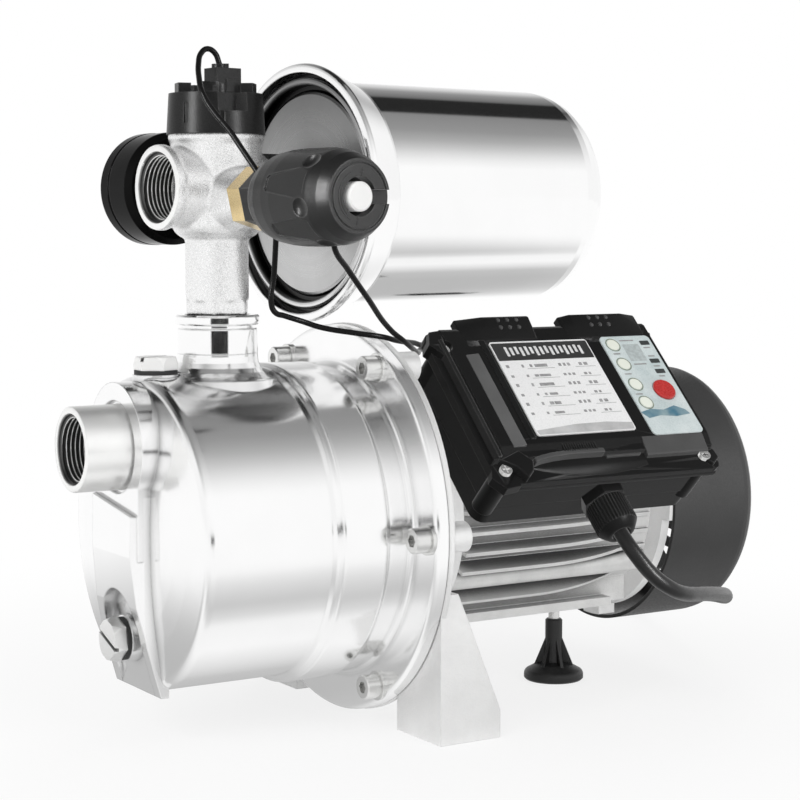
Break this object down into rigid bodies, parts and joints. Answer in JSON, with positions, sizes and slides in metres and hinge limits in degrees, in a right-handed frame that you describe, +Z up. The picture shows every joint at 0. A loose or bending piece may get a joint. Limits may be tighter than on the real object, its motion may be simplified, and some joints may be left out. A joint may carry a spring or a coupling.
{
  "type": "booster pump",
  "caption": "Self-priming jet booster pump with motor, pressure tank on a five-way fitting, pressure and flow switches, gauge, control box and mains cord.",
  "frame": {"origin": "on the floor under the middle of the whole pump, without its mains cord", "axes": "+X along the shaft towards the fan, the suction mouth faces -X; the control box and the pressure switch face -Y; +Z up"},
  "size_m": [0.4547, 0.4003, 0.339],
  "materials": {
    "stainless_casing": "polished deep-drawn stainless steel, satin in places",
    "pipe_metal": "machined stainless steel",
    "polished_pipe": "mirror polished stainless steel",
    "seal_rubber": "matte black rubber",
    "jet_plastic": "glass-filled engineering plastic",
    "impeller_brass": "machined brass",
    "seal_ceramic": "lapped ceramic",
    "seal_carbon": "carbon ring in a pressed steel holder",
    "screw_steel": "bright stainless fasteners",
    "cast_aluminium": "shot-blasted die-cast aluminium",
    "core_steel": "laminated electrical steel",
    "winding_copper": "varnished copper wire",
    "fan_plastic": "black moulded plastic",
    "cover_black": "black satin paint on pressed steel",
    "foot_rubber": "black moulded rubber",
    "box_plastic": "black satin moulded plastic",
    "plate_white": "bare white foil",
    "panel_silver": "pale silver-blue foil",
    "button_red": "red moulded plastic",
    "lens_clear": "milky light guides",
    "board_green": "varnished circuit board",
    "capacitor_white": "pale plastic can",
    "cord_rubber": "black rubber-sheathed cable",
    "fitting_brass": "nickel-plated brass, sand-blasted",
    "switch_plastic": "dark grey glass-filled plastic",
    "poppet_plastic": "natural acetal",
    "gauge_black": "gloss black plastic case",
    "dial_white": "white printed dial",
    "pointer_red": "red painted pointer",
    "gauge_glass": "clear lens",
    "nut_brass": "pale machined brass",
    "pin_white": "natural white plastic",
    "tank_steel": "mirror polished stainless steel",
    "tank_plate": "satin pressed steel",
    "valve_cap": "black valve cap"
  },
  "bodies": {
    "pump": {"pump_casing": "stainless_casing", "suction_port": "pipe_metal", "priming_plug": "pipe_metal", "drain_plug": "pipe_metal", "discharge_port": "polished_pipe", "plug_seals": "seal_rubber", "casing_gasket": "seal_rubber", "tank_bladder": "seal_rubber", "lead_sleeves": "seal_rubber", "ejector_nozzle": "jet_plastic", "venturi_tube": "jet_plastic", "diffuser": "jet_plastic", "seal_seat": "seal_ceramic", "casing_bolts": "screw_steel", "casing_washers": "screw_steel", "tie_bolts": "screw_steel", "stud_nut": "screw_steel", "lid_screws": "screw_steel", "pump_bracket": "cast_aluminium", "motor_housing": "cast_aluminium", "rear_shield": "cast_aluminium", "stator_core": "core_steel", "bearings": "core_steel", "windings": "winding_copper", "fan_cover": "cover_black", "control_base": "box_plastic", "control_lid": "box_plastic", "cable_gland": "box_plastic", "gland_nut": "box_plastic", "rating_plate": "plate_white", "key_panel": "panel_silver", "indicator_lenses": "lens_clear", "circuit_board": "board_green", "capacitor": "capacitor_white", "power_cord": "cord_rubber", "cord_coil": "cord_rubber", "mains_plug": "cord_rubber", "leads": "cord_rubber", "five_way_body": "fitting_brass", "flow_cap": "switch_plastic", "flow_sensor": "switch_plastic", "switch_housing": "switch_plastic", "gauge_case": "gauge_black", "gauge_face": "dial_white", "gauge_lens": "gauge_glass", "switch_nut": "nut_brass", "tank_shell": "tank_steel", "tank_end": "tank_plate", "air_valve": "valve_cap"},
    "rotor": {"motor_shaft": "core_steel", "rotor_core": "core_steel", "impeller": "impeller_brass", "seal_head": "seal_carbon", "cooling_fan": "fan_plastic"},
    "levelling_foot": {"levelling_stud": "screw_steel", "rubber_foot": "foot_rubber"},
    "button": {"start_button": "button_red"},
    "poppet": {"flow_poppet": "poppet_plastic"},
    "pointer": {"gauge_pointer": "pointer_red"},
    "pin": {"adjusting_pin": "pin_white"}
  },
  "joints": [
    {"name": "rotor_spin", "type": "hinge", "parent": "pump", "child": "rotor", "pos_m": [0.04735, 0.00959, 0.102], "axis": [1, 0, 0], "continuous": true},
    {"name": "foot_height", "type": "slide", "parent": "pump", "child": "levelling_foot", "axis": [0, 0, 1], "range_m": [-0.003, 0.003]},
    {"name": "button_press", "type": "slide", "parent": "pump", "child": "button", "axis": [0, 0.7071, -0.7071], "range_m": [0, 0.0012], "stiffness_N_per_m": 1500},
    {"name": "poppet_lift", "type": "slide", "parent": "pump", "child": "poppet", "axis": [0, 0, 1], "range_m": [0, 0.01]},
    {"name": "pointer_turn", "type": "hinge", "parent": "pump", "child": "pointer", "pos_m": [-0.10795, 0.00959, 0.2705], "axis": [-0.1045, 0.9945, 0], "range_deg": [0, 270]},
    {"name": "pin_turn", "type": "hinge", "parent": "pump", "child": "pin", "pos_m": [-0.10795, 0.00959, 0.2645], "axis": [0.1045, -0.9945, 0], "range_deg": [-90, 90]}
  ]
}
